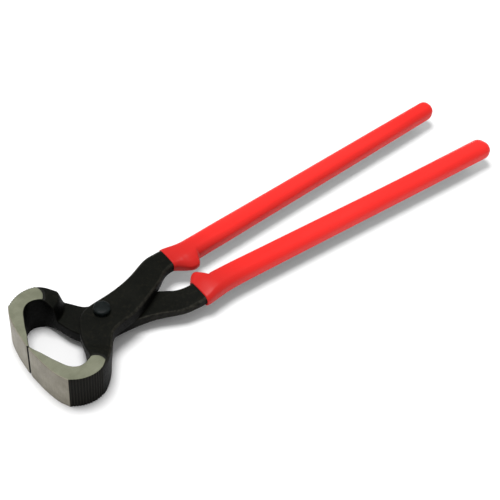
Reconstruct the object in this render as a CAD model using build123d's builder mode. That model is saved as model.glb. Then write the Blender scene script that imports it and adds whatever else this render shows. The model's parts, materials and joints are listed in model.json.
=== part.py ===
"""End-cutting fencing pincers: two equal forgings in a riveted lap joint, with dipped grips.

Millimetres, +Z up. X runs from the jaws to the handle ends, and Y = 0 is the plane between the jaws.
The origin is under the middle of the tool's length, on the surface that the jaws rest on.
Plan positions are given as distances along the tool from the cutting edge, and across it from Y = 0.
"""

from build123d import *
import os

os.makedirs("parts", exist_ok=True)

# Whole tool
LENGTH = 350.0  # cutting edge to handle ends
PIVOT = 49.0  # cutting edge to pivot axis
FAR = 400.0  # past the end of every solid, for cutting tools

# Heights above and below the middle plane of the tool
JAW_HALF = 13.0  # ground top and bottom faces of the jaws
ARM_HALF = 9.0  # each forging's thickness at the joint, and half the root's height
TANG_HALF = 4.5  # steel core of a handle
LAP_GAP = 0.1  # each lap face to the middle plane

# Jaw
EDGE_GAP = 0.15  # each cutting land to Y = 0
LAND = 1.3  # width of the flat cutting land
CORNER = (6.0, 31.8)  # where the ground front meets the ribbed side
RIB_COUNT = 13
RIB_GROOVE_R = 0.42
RIB_SPAN = (0.015, 0.135)  # stretch of the side wall that carries ribs, as shares of its length

# Handle
COAT_START = 107.5
COAT = 1.2  # thickness of the dipped vinyl
NUB_UPPER = 119.5  # cutting edge to the peak of the stop nub on the upper lever's grip
NUB_LOWER = 114.7  # the same on the lower lever's grip
CORE_END = LENGTH - COAT

# Rivet
RIVET_R = 4.0
RIVET_CLEARANCE = 0.05  # radial, in the upper lever, which turns on the rivet
HEAD_R = 5.2
HEAD_RISE = 3.7  # height of the head above its seat
HEAD_ROUND = 1.6  # rounding of the head's rim
HEAD_SEAT_GAP = 0.05  # between the head and the turning lever
TAIL_RISE = 1.6  # height of the formed tail under the lower lever
TAIL_ROUND = 1.0

upper_base = Plane(origin=(-LENGTH / 2, 0, JAW_HALF), x_dir=(1, 0, 0), z_dir=(0, 0, 1))
lower_base = Plane(origin=(-LENGTH / 2, 0, JAW_HALF), x_dir=(1, 0, 0), z_dir=(0, 0, -1))


def side_plane(base):
    """The plane along the tool in which a forging's thickness is drawn."""
    return Plane(origin=base.origin, x_dir=base.x_dir, z_dir=-base.y_dir)


def handle_end(inner, outer, tip):
    """The rounded end that joins the two long sides of a handle, drawn from the inner to the outer one."""
    Spline(inner @ 1, tip, outer @ 0, tangents=[inner % 1, outer % 0])


def lever_outline():
    """Plan outline of one forging, jaw towards -Y and handle towards +Y. Returns its outer side."""
    inner_handle = Line((128, 8.4 + COAT), (CORE_END - 5, 20.1 + COAT))
    outer_handle = Line((CORE_END - 5, 31.7 - COAT), (126, 22.2 - COAT))
    handle_end(inner_handle, outer_handle, (CORE_END, 26))
    front = Spline(
        (0, -EDGE_GAP), (0.4, -12), (2.6, -24.5), (CORNER[0], -CORNER[1]),
        tangents=[(0, -1), (0.5, -1)],
    )
    side = Spline(
        front @ 1, (11.4, -34.9), (20, -36.7), (30, -33), (38, -26.4), (44.6, -18), (50.5, -13.9),
        (60, -12.3), (68.6, -10.2), (79, -5.6), (91, 0.6), (98, 5.3), (103.5, 7.5), (110, 8.4),
        inner_handle @ 0,
        tangents=[(1, -0.75), inner_handle % 0],
    )
    hollow = Spline(
        outer_handle @ 1, (118, 21.1), (110, 22.3), (100, 21.9), (90, 19.3), (80, 14.8), (66, 11.1),
        (54, 8.9), (42.5, 8.0), (35, 2.5), (29.8, -7.5), (27.2, -17.5), (24.5, -24.5), (18, -27.2),
        (11.5, -23.8), (6.4, -13.3), (LAND, -1.5),
        tangents=[outer_handle % 1, (-0.45, 1)],
    )
    land = Line(hollow @ 1, (LAND, -EDGE_GAP))
    Line(land @ 1, front @ 0)
    return side


def grip_outline(nub):
    """Plan outline of the coat's outside, with the stop nub's peak at the given distance."""
    inner_handle = Line((128, 8.4), (LENGTH - 5.5, 20.1))
    outer_handle = Line((LENGTH - 5.5, 31.8), (126, 22.2))
    handle_end(inner_handle, outer_handle, (LENGTH, 26))
    lip = Spline(
        outer_handle @ 1, (118, 22.3), (112, 23.3), (COAT_START, 23.4),
        tangents=[outer_handle % 1, (-1, -0.05)],
    )
    mouth = Line(lip @ 1, (COAT_START, 6.8))
    Spline(
        mouth @ 1, (nub - 3, 3.2), (nub, 1.9), (nub + 2.6, 3.6), (nub + 4.6, 7.0), inner_handle @ 0,
        tangents=[(1, -0.3), inner_handle % 0],
    )


def rib_grooves(side):
    """Centres of the grooves between the ribs, spread along the jaw's side."""
    first, last = RIB_SPAN
    step = (last - first) / (RIB_COUNT - 1)
    return [side.position_at(first + step * i) for i in range(RIB_COUNT)]


def jaw_zone():
    """Everything in front of the curve where the jaw's ground faces end."""
    end = Spline((22, -22), (24.2, -25.0), (28.6, -27.8), (29.4, -32.5), (27, -45))
    Polyline(end @ 1, (-20, -45), (-20, 10), (22, 10), end @ 0)


def root_zone():
    """Everything in front of the wall that clears the other forging's boss."""
    wall = Spline((22, -12), (28.5, -16.5), (34, -19.5), (37, -24), (38.5, -32))
    Polyline(wall @ 1, (-20, -45), (-20, 10), (22, 10), wall @ 0)


def arm_profile():
    """Thickness of the boss, the shank and the handle core, seen from the side."""
    top = Line((22, ARM_HALF), (68, ARM_HALF))
    slope = Spline(top @ 1, (88, 7.2), (COAT_START - 2, TANG_HALF), tangents=[(1, 0), (1, 0)])
    core = Polyline(slope @ 1, (FAR, TANG_HALF), (FAR, -TANG_HALF), (COAT_START - 2, -TANG_HALF))
    rise = Spline(core @ 1, (98, -2.6), (90, LAP_GAP), tangents=[(-1, 0), (-1, 0)])
    Polyline(rise @ 1, (22, LAP_GAP), top @ 0)


def arm_solid(base):
    """The half-thick boss with its shank and handle core."""
    with BuildPart() as arm:
        with BuildSketch(base):
            with BuildLine():
                lever_outline()
            make_face()
        extrude(amount=ARM_HALF, both=True)
        with BuildSketch(side_plane(base)):
            with BuildLine():
                arm_profile()
            make_face()
        extrude(amount=FAR, both=True, mode=Mode.INTERSECT)
    return arm.part


def forging(base, hole_r):
    """One lever: jaw, root and arm in one piece, with the hole for the rivet."""
    arm = arm_solid(base)
    with BuildPart() as lever:
        for zone, half in ((jaw_zone, JAW_HALF), (root_zone, ARM_HALF)):
            with BuildSketch(base):
                with BuildLine():
                    side = lever_outline()
                make_face()
                with Locations(*rib_grooves(side)):
                    Circle(RIB_GROOVE_R, mode=Mode.SUBTRACT)
                with BuildLine():
                    zone()
                make_face(mode=Mode.INTERSECT)
            extrude(amount=half, both=True)
        add(arm)
        with BuildSketch(base):
            with Locations((PIVOT, 0)):
                Circle(hole_r)
        extrude(amount=JAW_HALF, both=True, mode=Mode.SUBTRACT)
    return lever.part


def dipped_grip(base, core, nub):
    """The vinyl coat over a handle's core, open at the front where the steel comes out."""
    with BuildPart() as sleeve:
        with BuildSketch(base):
            with BuildLine():
                grip_outline(nub)
            make_face()
        extrude(amount=TANG_HALF + COAT, both=True)
        add(core, mode=Mode.SUBTRACT)
    return sleeve.part


with BuildPart() as lever_upper:
    add(forging(upper_base, RIVET_R + RIVET_CLEARANCE))
lever_upper.part.label = "lever_upper"

with BuildPart() as lever_lower:
    add(forging(lower_base, RIVET_R))
lever_lower.part.label = "lever_lower"

with BuildPart() as pivot_rivet:
    for start, height, radius in (
        (-ARM_HALF - TAIL_RISE, TAIL_RISE, HEAD_R),
        (-ARM_HALF, 2 * ARM_HALF + HEAD_SEAT_GAP, RIVET_R),
        (ARM_HALF + HEAD_SEAT_GAP, HEAD_RISE, HEAD_R),
    ):
        with BuildSketch(upper_base.offset(start)):
            with Locations((PIVOT, 0)):
                Circle(radius)
        extrude(amount=height)
    rims = pivot_rivet.edges().filter_by(GeomType.CIRCLE).group_by(Axis.Z)
    fillet(rims[-1], HEAD_ROUND)
    fillet(rims[0], TAIL_ROUND)
pivot_rivet.part.label = "pivot_rivet"

with BuildPart() as grip_upper:
    add(dipped_grip(upper_base, lever_upper.part, NUB_UPPER))
grip_upper.part.label = "grip_upper"

with BuildPart() as grip_lower:
    add(dipped_grip(lower_base, lever_lower.part, NUB_LOWER))
grip_lower.part.label = "grip_lower"

for piece in (lever_upper, lever_lower, pivot_rivet, grip_upper, grip_lower):
    export_step(piece.part, f"parts/{piece.part.label}.step")
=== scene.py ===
"""Fencing pincers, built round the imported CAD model: forged levers, rivet and dipped grips.

Plan positions are millimetres: along the tool from its cutting edge, across it from the plane between the
jaws, and above its middle plane. Each lever is drawn with its jaw towards -Y and its handle towards +Y, and
the lower one is the same forging turned over about the tool's long axis.
"""

import json
import math

import bmesh
import bpy
import numpy as np
from mathutils import Matrix, Vector


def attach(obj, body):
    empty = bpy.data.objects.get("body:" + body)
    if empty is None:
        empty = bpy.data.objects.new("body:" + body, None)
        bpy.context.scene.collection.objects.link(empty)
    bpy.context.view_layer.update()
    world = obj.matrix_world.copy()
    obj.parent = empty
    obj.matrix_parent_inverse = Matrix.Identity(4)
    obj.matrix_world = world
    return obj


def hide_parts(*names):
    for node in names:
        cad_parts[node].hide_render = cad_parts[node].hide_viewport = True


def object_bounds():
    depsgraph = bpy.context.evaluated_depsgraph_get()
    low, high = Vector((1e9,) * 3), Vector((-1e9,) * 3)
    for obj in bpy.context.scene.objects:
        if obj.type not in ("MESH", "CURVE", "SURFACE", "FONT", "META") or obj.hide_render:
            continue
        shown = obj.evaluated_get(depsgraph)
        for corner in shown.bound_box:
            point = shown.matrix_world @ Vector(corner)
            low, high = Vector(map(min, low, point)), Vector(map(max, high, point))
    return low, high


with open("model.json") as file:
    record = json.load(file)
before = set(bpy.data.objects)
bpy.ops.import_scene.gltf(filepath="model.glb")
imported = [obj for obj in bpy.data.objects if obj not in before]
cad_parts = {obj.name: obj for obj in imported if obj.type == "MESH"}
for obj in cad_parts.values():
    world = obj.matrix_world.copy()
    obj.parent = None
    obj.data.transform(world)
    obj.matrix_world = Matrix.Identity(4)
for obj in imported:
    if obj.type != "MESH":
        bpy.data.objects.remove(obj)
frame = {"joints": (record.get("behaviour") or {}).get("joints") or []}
cad_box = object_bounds()

MM = 0.001
EDGE_X = cad_box[0][0]  # cutting edge
MID_Z = (cad_box[0][2] + cad_box[1][2]) / 2  # middle plane of the tool
PIVOT = (frame["joints"][0]["pos_m"][0] - EDGE_X) / MM

# Heights above or below the middle plane
JAW = 13.0  # ground faces of the jaws
ARM = 9.0  # boss and root
CORE = 4.5  # steel inside a grip
LAP = 0.1  # each lap face
GRIP_HALF = 6.05

RIVET_R = 4.0
HEAD_R = 5.05
TAIL_R = 5.2
HEAD_SHIFT = (0.7, 0.75)  # the head was hammered a little off the pivot axis
SEAT = 0.02  # gap under the head and over the tail

RIB_COUNT = 13
RIB_DEPTH = 0.5

# Ground faces end on an arc about a point this far across
GROUND_CENTRE_Y = -31.2

# Faces in one ring round a forging: rounded edges, upper and lower flats, and walls
ARC = 5
FLAT = 22
WALL = 9
TOP_FIRST = WALL + ARC
OUT_FIRST = WALL + ARC + FLAT + ARC
LOW_FIRST = 2 * WALL + 3 * ARC + FLAT
SECTION = 2 * WALL + 4 * ARC + 2 * FLAT
OUTER_POINTS = slice(TOP_FIRST + FLAT + 1, TOP_FIRST + FLAT + 1 + 2 * ARC + WALL)

# Keys of the forging's outline in pairs, inner side then outer side, from the cutting edge to the handle.
# The inner side goes round the jaw hollow and then along the far side of the boss and shank.
FRONT_KEYS = (
    ((3.6, -6.5), (0.0, -6.0)),
    ((6.2, -13.0), (0.5, -12.5)),
    ((8.9, -19.0), (1.5, -19.2)),
    ((11.2, -23.3), (3.3, -26.3)),
    ((13.2, -25.5), (6.0, -31.8)),
)
SIDE_KEYS = (
    FRONT_KEYS[-1],
    ((15.4, -26.8), (11.0, -34.9)),
    ((18.0, -27.3), (17.0, -36.7)),
    ((21.2, -26.7), (23.0, -36.6)),
    ((24.2, -24.8), (28.0, -34.9)),
    ((26.2, -21.3), (32.8, -31.7)),
    ((27.3, -17.0), (37.2, -27.4)),
    ((28.5, -12.3), (41.3, -22.6)),
    ((30.2, -6.7), (44.6, -18.1)),
    ((33.0, -0.9), (47.2, -15.5)),
    ((37.0, 4.6), (50.8, -13.9)),
    ((42.6, 7.8), (55.3, -12.9)),
    ((50.0, 9.0), (60.6, -12.2)),
    ((58.0, 9.6), (66.0, -11.0)),
    ((66.0, 10.7), (72.0, -8.9)),
    ((74.0, 12.5), (79.0, -5.7)),
    ((82.0, 15.5), (86.0, -2.1)),
    ((90.0, 19.5), (92.6, 1.6)),
    ((96.0, 21.9), (97.6, 5.1)),
    ((102.0, 22.9), (102.6, 7.2)),
    ((108.0, 23.3), (108.0, 8.4)),
    ((118.0, 21.4), (118.0, 9.1)),
    ((140.0, 21.7), (140.0, 10.4)),
    ((240.0, 26.0), (240.0, 15.8)),
    ((340.0, 30.4), (340.0, 21.2)),
)

# What the two hand-finished forgings and grips do differently
SIDES = {
    "upper": dict(
        turn=1,
        clearance=0.05,  # this lever turns on the rivet
        land=0.5,  # how far the front is broken back from the cutting land
        silver=(24.2, 6.1),  # centre and radius of the ground face's rounded end
        slope=(74, 114),  # where the shank thins towards the handle
        coat=107.2,
        tip=348.8,
        inner=(
            (106.0, 7.9), (109.0, 7.2), (112.5, 5.1), (116.0, 2.7), (119.0, 1.7), (121.6, 2.0),
            (123.5, 3.3), (124.8, 5.9), (125.9, 7.9), (127.6, 8.5), (132.0, 8.7), (145.0, 9.3),
            (160.0, 10.1), (220.0, 13.4),
            (280.0, 16.6), (350.0, 20.6),
        ),
        outer=(
            (106.0, 24.0), (109.0, 24.2), (112.5, 23.8), (116.0, 23.0), (120.0, 22.4), (126.0, 22.2),
            (140.0, 22.8),
        ),
    ),
    "lower": dict(
        turn=-1,
        clearance=0.02,
        land=1.5,
        silver=(19.5, 8.0),
        slope=(48, 112),
        coat=108.5,
        drip=(349.8, 22.6, -4.6),
        tip=353.0,
        inner=(
            (106.0, 7.6), (108.5, 6.4), (110.5, 4.2), (112.5, 2.3), (114.7, 1.5), (116.7, 2.5),
            (118.3, 5.3), (119.6, 7.9), (121.6, 8.5), (126.0, 8.5), (132.0, 8.7), (145.0, 9.3),
            (160.0, 10.1), (220.0, 13.2),
            (280.0, 16.0), (320.0, 17.2), (354.0, 18.2),
        ),
        outer=(
            (106.0, 24.3), (109.0, 24.8), (112.5, 24.8), (116.0, 24.3), (120.0, 23.7), (126.0, 23.0),
            (140.0, 22.9),
        ),
    ),
}

# The rest of a grip's outer side, the same on both
GRIP_OUTER = ((160.0, 23.7), (220.0, 26.3), (280.0, 29.0), (352.0, 32.2))


def spline(keys, at):
    """Natural cubic spline through (place, value) keys, read at the places given."""
    t = np.array([k[0] for k in keys], float)
    v = np.array([k[1] for k in keys], float)
    n = len(t)
    h = np.diff(t)
    matrix = np.eye(n)
    right = np.zeros(n)
    for i in range(1, n - 1):
        matrix[i, i - 1:i + 2] = h[i - 1], 2 * (h[i - 1] + h[i]), h[i]
        right[i] = 6 * ((v[i + 1] - v[i]) / h[i] - (v[i] - v[i - 1]) / h[i - 1])
    bend = np.linalg.solve(matrix, right)
    at = np.asarray(at, float)
    k = np.clip(np.searchsorted(t, at) - 1, 0, n - 2)
    a = (t[k + 1] - at) / h[k]
    b = (at - t[k]) / h[k]
    curve = ((a**3 - a) * bend[k] + (b**3 - b) * bend[k + 1]) * h[k] ** 2 / 6
    return a * v[k] + b * v[k + 1] + curve


def ease(low, high, value):
    """0 below low, 1 above high, smooth between."""
    t = np.clip((np.asarray(value, float) - low) / (high - low), 0, 1)
    return t * t * (3 - 2 * t)


def middle_run(keys):
    """Distance run along the middle of paired keys, at each pair."""
    middle = np.array(keys).mean(1)
    return np.concatenate([[0], np.cumsum(np.hypot(*np.diff(middle, axis=0).T))])


def outline(keys, at):
    """Inner and outer points at distances run along the middle of paired keys."""
    run = middle_run(keys)
    pairs = np.array(keys)
    sides = []
    for row in (0, 1):
        columns = [spline(list(zip(run, pairs[:, row, column])), at) for column in (0, 1)]
        sides.append(np.stack(columns, 1))
    return sides


def place(x, y, z, turn):
    """Millimetres in the tool's own plan to metres in the row's frame; turn is -1 for the lower lever."""
    x, y, z = np.broadcast_arrays(x, y, z)
    return np.stack([EDGE_X + x * MM, turn * y * MM, MID_Z + turn * z * MM], -1)


def ground_end(x, y, silver):
    """Distance past the rounded end of a ground jaw face, negative on the face itself."""
    centre, radius = silver
    past = np.hypot(np.maximum(x - centre, 0), y - GROUND_CENTRE_Y) - radius
    return np.where(x > 21.0, past, -1.0)


def jaw_height(x, y, silver):
    """Half height of the jaw: ground flat, a small step down, then a fall to the root."""
    past = ground_end(x, y, silver)
    return JAW - 0.6 * ease(-0.3, 0.4, past) - (JAW - ARM - 0.6) * ease(0.5, 11.0, past)


def top_height(x, y, side):
    """Upper surface of the forging: jaw, boss and the slope to the handle."""
    return jaw_height(x, y, side["silver"]) - (ARM - CORE) * ease(*side["slope"], x)


def bottom_height(x, y, side):
    """Lower surface: the same jaw, then a wall up to the lap face, then the slope to the handle."""
    height = -jaw_height(x, y, side["silver"])
    wall = np.hypot(x - 24.0, y + 30.0) - 14.2
    lap = ease(-2.0, 1.8, wall) * (x > 24.0)
    return height * (1 - lap) + LAP * lap - (CORE + LAP) * ease(89.0, 122.0, x)


def section_rings(inner, outer, radii, side, ribs=None):
    """Rings of points round each station: rounded edges, and heights that follow the forging's surfaces.

    radii: rounding at (top inner, top outer, bottom outer, bottom inner), one row for each station.
    """
    count = len(inner)
    across = outer - inner
    width = np.hypot(*across.T)
    unit = across / width[:, None]
    rings = []
    wears_and_highlights = []
    quarter = np.linspace(0, math.pi / 2, ARC + 1)

    def add(distance, height, wear_and_highlight):
        point = inner + unit * np.asarray(distance)[:, None]
        rings.append((point[:, 0], point[:, 1], np.broadcast_to(height, (count,)).astype(float)))
        wears_and_highlights.append(np.broadcast_to(wear_and_highlight, (count,)).astype(float))

    # lightening across a rounded edge, strongest mid-arc: rubbed steel together with a painted highlight
    def rub_and_highlight(angle):
        return math.sin(2 * angle) ** 0.5

    def surface(height_at, distance):
        point = inner + unit * np.asarray(distance)[:, None]
        return height_at(point[:, 0], point[:, 1], side)

    zero = np.zeros(count)
    in_top = surface(top_height, zero)
    in_low = surface(bottom_height, zero)
    out_top = surface(top_height, width)
    out_low = surface(bottom_height, width)
    r_ti, r_to, r_bo, r_bi = radii.T
    for share in np.linspace(0, 1, WALL + 1)[:-1]:
        add(zero, (in_low + r_bi) * (1 - share) + (in_top - r_ti) * share, 0)
    for angle in quarter[:-1]:
        distance = r_ti * (1 - math.cos(angle))
        add(distance, surface(top_height, distance) - r_ti * (1 - math.sin(angle)), rub_and_highlight(angle))
    for share in np.linspace(0, 1, FLAT + 1):
        distance = r_ti + (width - r_ti - r_to) * share
        add(distance, surface(top_height, distance), 0)
    for angle in quarter[1:]:
        distance = width - r_to * (1 - math.sin(angle))
        add(distance, surface(top_height, distance) - r_to * (1 - math.cos(angle)), rub_and_highlight(angle))
    for share in np.linspace(0, 1, WALL + 1)[1:]:
        add(width, (out_top - r_to) * (1 - share) + (out_low + r_bo) * share, 0)
    for angle in quarter[1:]:
        distance = width - r_bo * (1 - math.cos(angle))
        add(distance, surface(bottom_height, distance) + r_bo * (1 - math.sin(angle)), rub_and_highlight(angle))
    for share in np.linspace(1, 0, FLAT + 1)[1:]:
        distance = r_bi + (width - r_bi - r_bo) * share
        add(distance, surface(bottom_height, distance), 0)
    for angle in quarter[1:-1]:
        distance = r_bi * (1 - math.sin(angle))
        add(distance, surface(bottom_height, distance) + r_bi * (1 - math.cos(angle)), rub_and_highlight(angle))
    x, y, z = (np.stack([r[i] for r in rings], 1) for i in range(3))
    wear_and_highlight = np.stack(wears_and_highlights, 1)
    if ribs is not None:
        # ribs push the outer wall in between crests
        depth = ribs[:, None]
        x[:, OUTER_POINTS] -= unit[:, None, 0] * depth
        y[:, OUTER_POINTS] -= unit[:, None, 1] * depth
    return place(x, y, z, side["turn"]), wear_and_highlight, ground_end(x, y, side["silver"])


def mesh_object(name, points, faces):
    """A smooth-shaded object with its faces turned outwards."""
    mesh = bpy.data.meshes.new(name)
    mesh.from_pydata([tuple(p) for p in points], [], faces)
    shell = bmesh.new()
    shell.from_mesh(mesh)
    if shell.calc_volume(signed=True) < 0:
        mesh.flip_normals()
    shell.free()
    mesh.update()
    mesh.polygons.foreach_set("use_smooth", [True] * len(mesh.polygons))
    piece = bpy.data.objects.new(name, mesh)
    bpy.context.scene.collection.objects.link(piece)
    return piece


def ring_faces(rings, size, first=0):
    """Quads between neighbouring rings of equal size."""
    faces = []
    for i in range(rings - 1):
        a = first + i * size
        b = a + size
        for j in range(size):
            k = (j + 1) % size
            faces.append((a + j, b + j, b + k, a + k))
    return faces


def forged_lever(name, side):
    """One forging as a single mesh, with its faces in the order of MATERIALS."""
    land = side["land"]
    front_keys = (((0.9, -0.01), (-0.1, -land)), ((1.3, -1.3), (-0.2, -land - 0.75)), *FRONT_KEYS)
    at_a = np.linspace(0, middle_run(front_keys)[-1], 66)
    in_a, out_a = outline(front_keys, at_a)
    # close stations across the ribs, wide ones inside the grip
    run_b = middle_run(SIDE_KEYS)
    at_b = np.concatenate([
        np.arange(0, run_b[4], 0.22),
        np.arange(run_b[4], run_b[20], 0.6),
        np.arange(run_b[20], run_b[-1] + 0.01, 3.0),
    ])
    in_b, out_b = outline(SIDE_KEYS, at_b)

    sharp = 0.3
    radii_a = np.tile([sharp, 0.45, 0.45, sharp], (len(at_a), 1))
    forged = ease(run_b[3], run_b[5], at_b)
    shank = ease(run_b[8], run_b[10], at_b)
    tang = ease(run_b[16], run_b[19], at_b)
    radii_b = np.stack([
        sharp + 1.4 * forged + 0.8 * tang,
        sharp + 1.2 * forged + 0.2 * shank + 0.6 * tang,
        sharp + 0.6 * forged + 1.0 * tang,
        sharp + 0.6 * forged + 1.0 * tang,
    ], 1)
    edge = np.hypot(*np.diff(out_b, axis=0).T)
    along = np.concatenate([[0], np.cumsum(edge)])
    rib_end = float(np.interp(run_b[4] * 0.93, at_b, along))
    pitch = rib_end / RIB_COUNT
    wave = 0.5 - 0.5 * np.cos(2 * math.pi * along / pitch)
    fade = ease(0, 0.8, along) * (1 - ease(rib_end - 1.5, rib_end, along))
    ribs = RIB_DEPTH * (1 - wave) ** 0.6 * fade
    points_a, wear_and_highlight_a, past_a = section_rings(in_a, out_a, radii_a, side)
    points_b, wear_and_highlight_b, past_b = section_rings(in_b, out_b, radii_b, side, ribs)
    # painted highlight and shade: the boss's own edge stays black as painted shade where it meets the other
    # lever, while the shank's edges carry rubbing by hands together with a painted highlight
    station = in_b[:, :1]
    for edge in (slice(WALL, WALL + ARC), slice(1 - ARC, None)):
        wear_and_highlight_b[:, edge] *= 0.1 + 0.9 * ease(55, 72, station)
    # painted light: the inner wall along the shank is painted lighter, as if lit
    wear_and_highlight_b[:, :WALL + ARC] = np.maximum(wear_and_highlight_b[:, :WALL + ARC], 0.5 * ease(60, 80, station))
    # crests of the ribs are rubbed bright
    crest = (0.55 * wave**3 * fade)[:, None]
    wear_and_highlight_b[:, OUTER_POINTS] = np.maximum(wear_and_highlight_b[:, OUTER_POINTS] * 0.6, crest)
    points = np.concatenate([points_a[:-1], points_b])
    wear_and_highlight = np.concatenate([wear_and_highlight_a[:-1], wear_and_highlight_b])
    past = np.concatenate([past_a[:-1], past_b])
    count = len(points)
    assert points.shape[1] == SECTION
    # close both ends on a point in the middle of the last ring
    flat = points.reshape(-1, 3)
    start = points[0].mean(0)
    stop = points[-1].mean(0)
    flat = np.concatenate([flat, [start, stop]])
    faces = ring_faces(count, SECTION)
    low = count * SECTION
    for j in range(SECTION):
        k = (j + 1) % SECTION
        faces.append((low, j, k))
        faces.append((low + 1, low - SECTION + k, low - SECTION + j))
    piece = mesh_object(name, flat, faces)
    mesh = piece.data
    for label, values in (("wear_and_highlight", wear_and_highlight), ("past", past)):
        attribute = mesh.attributes.new(label, "FLOAT", "POINT")
        padded = np.concatenate([values.ravel(), [0, 0]])
        attribute.data.foreach_set("value", padded.astype(np.float32))
    slots = np.zeros(len(faces), np.int32)
    jaw_rings = len(points_a) - 1
    z = np.abs(points[..., 2] - MID_Z) / MM
    outer_wall = range(OUT_FIRST - ARC, OUT_FIRST + WALL + ARC)
    flats = [*range(TOP_FIRST, TOP_FIRST + FLAT), *range(LOW_FIRST, LOW_FIRST + FLAT)]
    for i in range(count - 1):
        face = i * SECTION
        if i < jaw_rings:
            slots[face + outer_wall.start:face + outer_wall.stop] = 2  # ground front
        elif along[i - jaw_rings] < rib_end:
            slots[face + outer_wall.start:face + outer_wall.stop] = 3  # ribbed side
        for j in flats:
            corners = np.s_[i:i + 2, j:j + 2]
            if z[corners].min() > JAW - 0.8 and past[corners].min() < 1.2:
                slots[face + j] = 1  # ground flat
    mesh.polygons.foreach_set("material_index", slots)
    return piece


def drill(piece, radius):
    """Cut the rivet's hole through a forging."""
    turns = 96
    angle = 2 * math.pi * np.arange(turns) / turns
    ring = np.stack([PIVOT + radius * np.cos(angle), radius * np.sin(angle)], 1)
    points = np.concatenate([place(ring[:, 0], ring[:, 1], height, 1) for height in (-JAW, JAW)])
    faces = ring_faces(2, turns)
    faces += [tuple(range(turns)), tuple(range(2 * turns - 1, turns - 1, -1))]
    cutter = mesh_object("rivet_hole", points, faces)
    hole = piece.modifiers.new("rivet_hole", "BOOLEAN")
    hole.operation = "DIFFERENCE"
    hole.solver = "EXACT"
    hole.object = cutter
    whole = piece.data
    drilled = piece.evaluated_get(bpy.context.evaluated_depsgraph_get())
    piece.data = bpy.data.meshes.new_from_object(drilled)
    piece.data.name = whole.name
    piece.modifiers.clear()
    bpy.data.objects.remove(cutter)


def rounded_section(low, high, half, radius, points=9, flats=7):
    """Closed rounded rectangle from low to high across and +-half high, as (across, height) rows."""
    middle = (low + high) / 2
    reach = (high - low) / 2 - radius
    rise = half - radius
    ring = []
    for turn, (side, up) in enumerate(((1, 1), (-1, 1), (-1, -1), (1, -1))):
        for k in range(points):
            angle = (turn + k / (points - 1)) * math.pi / 2
            across = middle + side * reach + radius * math.cos(angle)
            ring.append((across, up * rise + radius * math.sin(angle)))
        # the flat that follows this corner
        last = ring[-1]
        along = ((-2 * reach, 0), (0, -2 * rise), (2 * reach, 0), (0, 2 * rise))[turn]
        for k in range(1, flats):
            ring.append((last[0] + along[0] * k / flats, last[1] + along[1] * k / flats))
    return ring


def dipped_grip(name, side):
    """The vinyl coat: rounded section, stop nub, thin mouth where the dip ends and a full round tip."""
    turn = side["turn"]
    tip = side["tip"]
    coat = side["coat"]
    round_tip = 6.6
    blunt = 2.6
    mouth = 0.55
    stations = np.concatenate([
        np.linspace(0, 1, 6) ** 2 * mouth + coat,
        np.arange(coat + mouth + 0.3, 128, 0.3),
        np.arange(128, tip - round_tip, 2.0),
        tip - round_tip + round_tip * np.sin(np.linspace(0, math.pi / 2, 22)),
    ])
    inner = spline(side["inner"], stations)
    outer = spline(side["outer"] + GRIP_OUTER, stations)
    plain = 8.4 + (stations - 128) * 0.054
    # the crowned faces are fullest in the middle
    full = 0.4 * ease(110, 130, stations)
    inner = inner - full
    outer = outer + full
    rings = []
    for x, low, high, straight in zip(stations, inner, outer, plain):
        round_off = max(0.0, 1 - max(0.0, (x - tip + round_tip) / round_tip) ** blunt) ** (1 / blunt)
        lip = mouth * (1 - math.sqrt(max(0.0, 1 - max(0.0, (coat + mouth - x) / mouth) ** 2)))
        middle = (low + high) / 2
        half_width = ((high - low) / 2 - lip) * round_off
        # near the mouth the coat follows the steel, further on it has its own even thickness
        steel = np.array([x]), np.array([14.0])
        own = float(ease(107.0, 121.0, x))
        top = (float(top_height(*steel, side)[0]) + 0.75) * (1 - own) + GRIP_HALF * own
        low_face = (float(bottom_height(*steel, side)[0]) - 0.75) * (1 - own) - GRIP_HALF * own
        half = (top - low_face) / 2 * round_off - lip
        centre = (top + low_face) / 2
        radius = min(2.6 + 1.0 * float(ease(107.0, 124.0, x)), half_width * 0.98, half * 0.98)
        radius = max(radius, 0.01)
        ring = rounded_section(middle - half_width, middle + half_width, max(half, 0.011), radius)
        # the nub is thinner than the handle
        nub = max(0.0, straight - low)
        row = []
        for across, height in ring:
            # faces are slightly crowned
            over = (across - middle) / half_width if half_width > 0.01 else 0.0
            rise = height / max(half, 0.011)
            height *= 1 - 0.13 * over * over
            across = middle + (across - middle) * (1 - 0.07 * rise * rise)
            toward = min(1.0, max(0.0, (straight + 1.5 - across) / max(1.5 + nub, 0.1)))
            squeeze = 1 - 0.42 * min(1.0, nub / 5.0) * toward
            row.append((x, across, centre + height * squeeze))
        rings.append(row)
    rings = np.array(rings)
    size = rings.shape[1]
    if "drip" in side:
        # the dip drained from here and left a shallow dent
        away = np.linalg.norm(rings - np.array(side["drip"]), axis=2)
        dent = 0.55 * (1 - ease(0, 4.2, away))
        rings[..., 0] -= dent * 0.7
        rings[..., 2] -= dent * 0.7 * np.sign(side["drip"][2])
    points = place(rings[..., 0], rings[..., 1], rings[..., 2], turn)
    flat = points.reshape(-1, 3)
    # inside of the mouth, down into the gap round the steel
    centre = points[0].mean(0)
    inside = centre + (points[0] - centre) * np.array([1, 0.92, 0.88])
    inside[:, 0] += 3 * MM
    flat = np.concatenate([inside, flat, [points[-1].mean(0)]])
    faces = ring_faces(len(rings) + 1, size)
    last = len(flat) - 1
    for j in range(size):
        faces.append((last, last - size + j, last - size + (j + 1) % size))
    faces.append(tuple(range(size)))
    return mesh_object(name, flat, faces)


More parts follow.
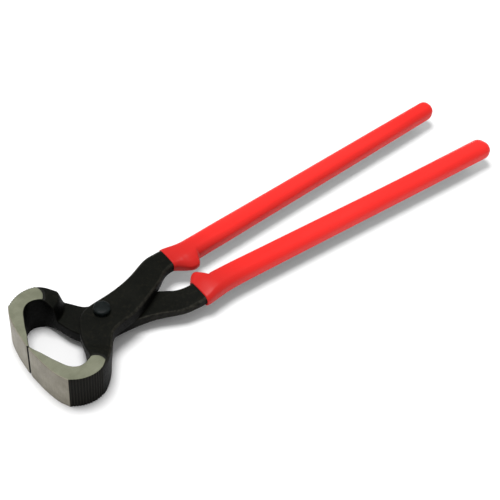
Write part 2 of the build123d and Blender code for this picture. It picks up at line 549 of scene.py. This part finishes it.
def domed_rivet(name):
    """Rivet round the pivot axis: shank, formed tail and a domed head hammered a little off centre."""
    profile = [(0.0, ARM + 3.75)]
    for k in range(1, 15):
        angle = k / 14 * math.pi / 2
        profile.append((HEAD_R * math.sin(angle) ** 0.6, ARM + 2.5 + 1.25 * math.cos(angle) ** 0.7))
    profile += [(HEAD_R, ARM + 0.4), (HEAD_R - 0.3, ARM + SEAT), (RIVET_R, ARM + SEAT), (RIVET_R, ARM)]
    profile += [(RIVET_R, -ARM - SEAT), (TAIL_R, -ARM - SEAT), (TAIL_R, -ARM - 0.7)]
    for k in range(1, 9):
        angle = k / 8 * math.pi / 2
        profile.append((TAIL_R * math.cos(angle), -ARM - 0.7 - 0.9 * math.sin(angle)))
    turns = 72
    points = []
    for radius, height in profile:
        radius = max(radius, 0.002)
        for k in range(turns):
            angle = 2 * math.pi * k / turns
            off_x, off_y = HEAD_SHIFT if height > ARM else (0, 0)
            x = PIVOT + off_x + radius * math.cos(angle)
            points.append((x, off_y + radius * math.sin(angle), height))
    points = np.array(points)
    flat = place(points[:, 0], points[:, 1], points[:, 2], 1)
    faces = ring_faces(len(profile), turns)
    faces.append(tuple(range(turns - 1, -1, -1)))
    faces.append(tuple(range((len(profile) - 1) * turns, len(profile) * turns)))
    return mesh_object(name, flat, faces)


class Nodes:
    """Short way to write a material's node tree."""

    def __init__(self, name):
        self.material = bpy.data.materials.new(name)
        self.material.use_nodes = True
        self.tree = self.material.node_tree
        self.shader = self.tree.nodes["Principled BSDF"]
        self.coordinates = self.new("ShaderNodeTexCoord").outputs["Object"]

    def new(self, kind, **settings):
        node = self.tree.nodes.new(kind)
        for key, value in settings.items():
            setattr(node, key, value)
        return node

    def link(self, source, target):
        self.tree.links.new(source, target)

    def mapped(self, scale, rotation=(0, 0, 0)):
        node = self.new("ShaderNodeMapping")
        node.inputs["Scale"].default_value = scale
        node.inputs["Rotation"].default_value = rotation
        self.link(self.coordinates, node.inputs["Vector"])
        return node.outputs["Vector"]

    def attribute(self, name):
        return self.new("ShaderNodeAttribute", attribute_name=name).outputs["Fac"]

    def noise(self, scale, detail=4.0, roughness=0.55, vector=None, distortion=0.0):
        node = self.new("ShaderNodeTexNoise")
        node.inputs["Scale"].default_value = scale
        node.inputs["Detail"].default_value = detail
        node.inputs["Roughness"].default_value = roughness
        node.inputs["Distortion"].default_value = distortion
        self.link(vector or self.coordinates, node.inputs["Vector"])
        return node.outputs["Fac"]

    def ramp(self, value, stops):
        node = self.new("ShaderNodeValToRGB")
        elements = node.color_ramp.elements
        while len(elements) < len(stops):
            elements.new(0.5)
        for element, (position, colour) in zip(elements, stops):
            element.position = position
            element.color = (*colour, 1) if isinstance(colour, tuple) else (colour, colour, colour, 1)
        self.link(value, node.inputs["Fac"])
        return node.outputs["Color"]

    def mix(self, factor, a, b, blend="MIX"):
        node = self.new("ShaderNodeMix", data_type="RGBA", blend_type=blend)
        for socket, value in ((node.inputs[0], factor), (node.inputs[6], a), (node.inputs[7], b)):
            if isinstance(value, bpy.types.NodeSocket):
                self.link(value, socket)
            else:
                socket.default_value = value if isinstance(value, float) else (*value, 1)
        return node.outputs[2]

    def math(self, operation, *values):
        node = self.new("ShaderNodeMath", operation=operation)
        for socket, value in zip(node.inputs, values):
            if isinstance(value, bpy.types.NodeSocket):
                self.link(value, socket)
            else:
                socket.default_value = value
        return node.outputs[0]

    def bump(self, height, distance, strength=1.0, normal=None):
        node = self.new("ShaderNodeBump")
        node.inputs["Distance"].default_value = distance
        node.inputs["Strength"].default_value = strength
        self.link(height, node.inputs["Height"])
        if normal is not None:
            self.link(normal, node.inputs["Normal"])
        return node.outputs["Normal"]

    def finish(self, colour=None, roughness=None, normal=None, **fixed):
        for name, value in fixed.items():
            self.shader.inputs[name.replace("_", " ")].default_value = value
        for name, source in (("Base Color", colour), ("Roughness", roughness), ("Normal", normal)):
            if source is not None:
                self.link(source, self.shader.inputs[name])
        return self.material


def forged_black():
    """Black oxide over forging scale: fine pitting, cloudy sheen, brighter edges that are part rubbed and
    part painted highlight, and walls painted darker as painted shade.
    """
    m = Nodes("forged_black")
    cloud = m.noise(70, 3)
    scale = m.noise(380, 6, 0.7)
    grain = m.noise(900, 5, 0.65)
    pits = m.noise(2600, 2, 0.5)
    colour = m.ramp(cloud, [(0.3, (0.0026, 0.0030, 0.0021)), (0.75, (0.0058, 0.0061, 0.0043))])
    colour = m.mix(m.ramp(scale, [(0.52, 0.0), (0.68, 0.7)]), colour, (0.0105, 0.0098, 0.0062))
    # painted shade: walls are painted darker than the upper and lower faces, as they get less light
    facing = m.new("ShaderNodeSeparateXYZ")
    m.link(m.new("ShaderNodeNewGeometry").outputs["Normal"], facing.inputs[0])
    flatness_for_painted_wall_shade = m.math("ABSOLUTE", facing.outputs["Z"])
    colour = m.mix(m.ramp(flatness_for_painted_wall_shade, [(0.45, 0.85), (0.9, 0.0)]), colour, (0.0006, 0.0006, 0.0005))
    # lighter where the wear_and_highlight attribute is high: rubbed edges, plus painted highlight on edges
    # and painted light on the shank wall
    patches = m.ramp(m.noise(420, 5, 0.7), [(0.36, 0.12), (0.68, 0.8)])
    rubbed_and_highlit = m.math("MULTIPLY", m.attribute("wear_and_highlight"), patches)
    colour = m.mix(rubbed_and_highlit, colour, (0.052, 0.049, 0.039))
    roughness = m.ramp(grain, [(0.3, 0.46), (0.7, 0.70)])
    normal = m.bump(scale, 0.0005, 0.45)
    normal = m.bump(grain, 0.0002, 0.4, normal)
    normal = m.bump(pits, 0.00008, 0.3, normal)
    normal = m.bump(cloud, 0.0008, 0.3, normal)
    return m.finish(colour, roughness, normal, Specular_IOR_Level=0.05)


def ground_flat():
    """Ground upper and lower faces of the jaws, greenish grey with fine crossing marks."""
    m = Nodes("ground_flat")
    cloud = m.noise(110, 4, 0.6)
    marks = m.noise(60, 6, 0.7, m.mapped((4, 160, 4), (0, 0, 0.9)))
    cross = m.noise(50, 5, 0.7, m.mapped((140, 6, 4), (0, 0, 0.35)))
    fine = m.noise(3000, 2)
    colour = m.ramp(cloud, [(0.32, (0.138, 0.144, 0.098)), (0.68, (0.196, 0.202, 0.144))])
    colour = m.mix(m.ramp(marks, [(0.45, 0.0), (0.75, 0.55)]), colour, (0.085, 0.09, 0.062))
    colour = m.mix(m.ramp(cross, [(0.55, 0.0), (0.8, 0.4)]), colour, (0.26, 0.265, 0.20))
    roughness = m.ramp(marks, [(0.3, 0.42), (0.7, 0.6)])
    normal = m.bump(marks, 0.00008, 0.6)
    normal = m.bump(cross, 0.00006, 0.5, normal)
    normal = m.bump(fine, 0.00003, 0.3, normal)
    # bare steel gives way to black scale where the grinding stopped
    past = m.attribute("past")
    ragged = m.math("MULTIPLY_ADD", m.noise(700, 3), 0.35, -0.2)
    line = m.new("ShaderNodeMapRange")
    line.inputs["From Min"].default_value = -0.06
    line.inputs["From Max"].default_value = 0.08
    m.link(m.math("ADD", past, ragged), line.inputs["Value"])
    scale = line.outputs["Result"]
    colour = m.mix(scale, colour, (0.0050, 0.0053, 0.0038))
    m.link(m.math("MULTIPLY_ADD", scale, -0.25, 0.25), m.shader.inputs["Metallic"])
    return m.finish(colour, roughness, normal, Specular_IOR_Level=0.15)


def ground_front():
    """Ground front of the jaws: warmer, with fine marks that run up the face."""
    m = Nodes("ground_front")
    cloud = m.noise(90, 4, 0.6)
    marks = m.noise(45, 6, 0.7, m.mapped((3, 90, 3), (0.5, 0, 0)))
    swirl = m.noise(160, 3, 0.6, distortion=0.6)
    colour = m.ramp(cloud, [(0.32, (0.160, 0.144, 0.108)), (0.68, (0.240, 0.221, 0.173))])
    colour = m.mix(m.ramp(marks, [(0.45, 0.0), (0.75, 0.5)]), colour, (0.12, 0.105, 0.078))
    colour = m.mix(m.ramp(swirl, [(0.55, 0.0), (0.75, 0.3)]), colour, (0.31, 0.30, 0.26))
    roughness = m.ramp(marks, [(0.3, 0.38), (0.7, 0.55)])
    normal = m.bump(marks, 0.00009, 0.6)
    return m.finish(colour, roughness, normal, Metallic=0.25, Specular_IOR_Level=0.3)


def ribbed_side():
    """The ribbed jaw sides: the same black scale, lighter on the rubbed crests and edges, where the edges
    also carry a painted highlight.
    """
    m = Nodes("ribbed_side")
    grain = m.noise(1200, 4, 0.6)
    streak = m.noise(30, 5, 0.7, m.mapped((120, 120, 6)))
    colour = m.ramp(streak, [(0.3, (0.0022, 0.0021, 0.0016)), (0.75, (0.0050, 0.0048, 0.0036))])
    # lighter from the wear_and_highlight attribute: rubbed rib crests, and edges that are partly a painted
    # highlight
    colour = m.mix(m.attribute("wear_and_highlight"), colour, (0.024, 0.022, 0.017))
    roughness = m.ramp(grain, [(0.3, 0.4), (0.7, 0.6)])
    normal = m.bump(streak, 0.00012, 0.5)
    normal = m.bump(grain, 0.0001, 0.3, normal)
    return m.finish(colour, roughness, normal, Specular_IOR_Level=0.04)


def rivet_blue():
    """Hammered rivet steel, blue-black."""
    m = Nodes("rivet_blue")
    dents = m.noise(420, 2)
    grain = m.noise(2200, 3)
    colour = m.ramp(dents, [(0.3, (0.003, 0.0044, 0.0044)), (0.75, (0.0075, 0.0105, 0.0105))])
    roughness = m.ramp(grain, [(0.3, 0.36), (0.7, 0.52)])
    normal = m.bump(dents, 0.0004, 0.5)
    normal = m.bump(grain, 0.00008, 0.3, normal)
    return m.finish(colour, roughness, normal, Specular_IOR_Level=0.08)


def dipped_vinyl():
    """Red dipped vinyl: soft gloss, faint runs along the handle and a little orange peel."""
    m = Nodes("dipped_vinyl")
    runs = m.noise(26, 3, 0.5, m.mapped((0.35, 2.2, 2.2)))
    peel = m.noise(900, 2)
    scuff = m.noise(240, 5, 0.7)
    colour = m.ramp(runs, [(0.3, (0.78, 0.022, 0.018)), (0.7, (0.87, 0.031, 0.026))])
    colour = m.mix(m.ramp(scuff, [(0.60, 0.0), (0.80, 0.25)]), colour, (0.60, 0.02, 0.018))
    # the coat is painted darker towards its mouth and across the nub, as painted shade on the nub's shaded
    # side
    along = m.new("ShaderNodeSeparateXYZ")
    m.link(m.coordinates, along.inputs[0])
    painted_shade_toward_mouth = m.new("ShaderNodeMapRange", interpolation_type="SMOOTHSTEP")
    painted_shade_toward_mouth.inputs["From Min"].default_value = EDGE_X + 158 * MM
    painted_shade_toward_mouth.inputs["From Max"].default_value = EDGE_X + 104 * MM
    m.link(along.outputs["X"], painted_shade_toward_mouth.inputs["Value"])
    colour = m.mix(m.math("MULTIPLY", painted_shade_toward_mouth.outputs["Result"], 0.62), colour, (0.32, 0.013, 0.011))
    roughness = m.ramp(scuff, [(0.35, 0.30), (0.75, 0.42)])
    normal = m.bump(runs, 0.0012, 0.2)
    normal = m.bump(peel, 0.00005, 0.2, normal)
    return m.finish(colour, roughness, normal, Specular_IOR_Level=0.1, Coat_Weight=0.02, Coat_Roughness=0.25)


# in the order of the material slots that forged_lever gives to its faces
MATERIALS = [forged_black(), ground_flat(), ground_front(), ribbed_side()]
RIVET_MATERIAL = rivet_blue()
VINYL = dipped_vinyl()

for which, side in SIDES.items():
    lever = forged_lever(f"{which}_lever_forging", side)
    for material in MATERIALS:
        lever.data.materials.append(material)
    drill(lever, RIVET_R + side["clearance"])
    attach(lever, f"{which}_lever")
    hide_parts(f"lever_{which}")

    grip = dipped_grip(f"{which}_grip_vinyl", side)
    grip.data.materials.append(VINYL)
    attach(grip, f"{which}_lever")
    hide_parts(f"grip_{which}")
    grip.visible_diffuse = False

rivet = domed_rivet("rivet_domed")
rivet.data.materials.append(RIVET_MATERIAL)
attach(rivet, "lower_lever")
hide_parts("pivot_rivet")


def floor():
    """Plain pale floor under the jaws."""
    half = 3.0
    low = cad_box[0][2]
    points = [(-half, -half, low), (half, -half, low), (half, half, low), (-half, half, low)]
    piece = mesh_object("floor", points, [(0, 1, 2, 3)])
    m = Nodes("floor_pale")
    tone = m.noise(3, 2)
    colour = m.ramp(tone, [(0.0, (0.93, 0.93, 0.93)), (1.0, (0.95, 0.95, 0.95))])
    piece.data.materials.append(m.finish(colour, Roughness=0.9, Specular_IOR_Level=0.0))


def area_light(name, place_at, target, size, power):
    light = bpy.data.lights.new(name, "AREA")
    light.shape = "DISK"
    light.size = size
    light.energy = power
    piece = bpy.data.objects.new(name, light)
    piece.location = place_at
    piece.rotation_euler = (Vector(target) - Vector(place_at)).to_track_quat("-Z", "Y").to_euler()
    bpy.context.scene.collection.objects.link(piece)


def studio():
    world = bpy.data.worlds.new("studio")
    world.use_nodes = True
    world.node_tree.nodes["Background"].inputs["Color"].default_value = (1, 1, 1, 1)
    world.node_tree.nodes["Background"].inputs["Strength"].default_value = 0.52
    bpy.context.scene.world = world
    area_light("key", (-0.12, 0.17, 1.28), (0, 0, 0), 0.52, 13.7)
    area_light("fill", (-0.85, 1.0, 0.42), (-0.1, 0, 0.01), 0.7, 5)
    bpy.context.scene.view_settings.view_transform = "Standard"


def camera():
    """Looks down across the jaws from in front of them, rolled a little."""
    azimuth = math.radians(-42.6)
    height = math.radians(47.8)
    roll = math.radians(5.6)
    focal_pixels = 1100
    image_pixels = 500
    distance = 691.2 * MM
    aim = Vector((EDGE_X + 150 * MM, 0, MID_Z))
    level = math.cos(height)
    back = Vector((math.sin(azimuth) * level, -math.cos(azimuth) * level, math.sin(height)))
    right = (-back).cross(Vector((0, 0, 1))).normalized()
    up = right.cross(-back)
    x_axis = right * math.cos(roll) + up * math.sin(roll)
    y_axis = -right * math.sin(roll) + up * math.cos(roll)
    data = bpy.data.cameras.new("camera")
    data.sensor_width = 36
    data.lens = focal_pixels / image_pixels * data.sensor_width
    data.shift_x = 0.0268
    data.shift_y = -0.004
    data.clip_start = 0.01
    piece = bpy.data.objects.new("camera", data)
    matrix = Matrix((x_axis, y_axis, back)).transposed().to_4x4()
    matrix.translation = aim + back * distance
    piece.matrix_world = matrix
    bpy.context.scene.collection.objects.link(piece)
    bpy.context.scene.camera = piece


floor()
studio()
camera()
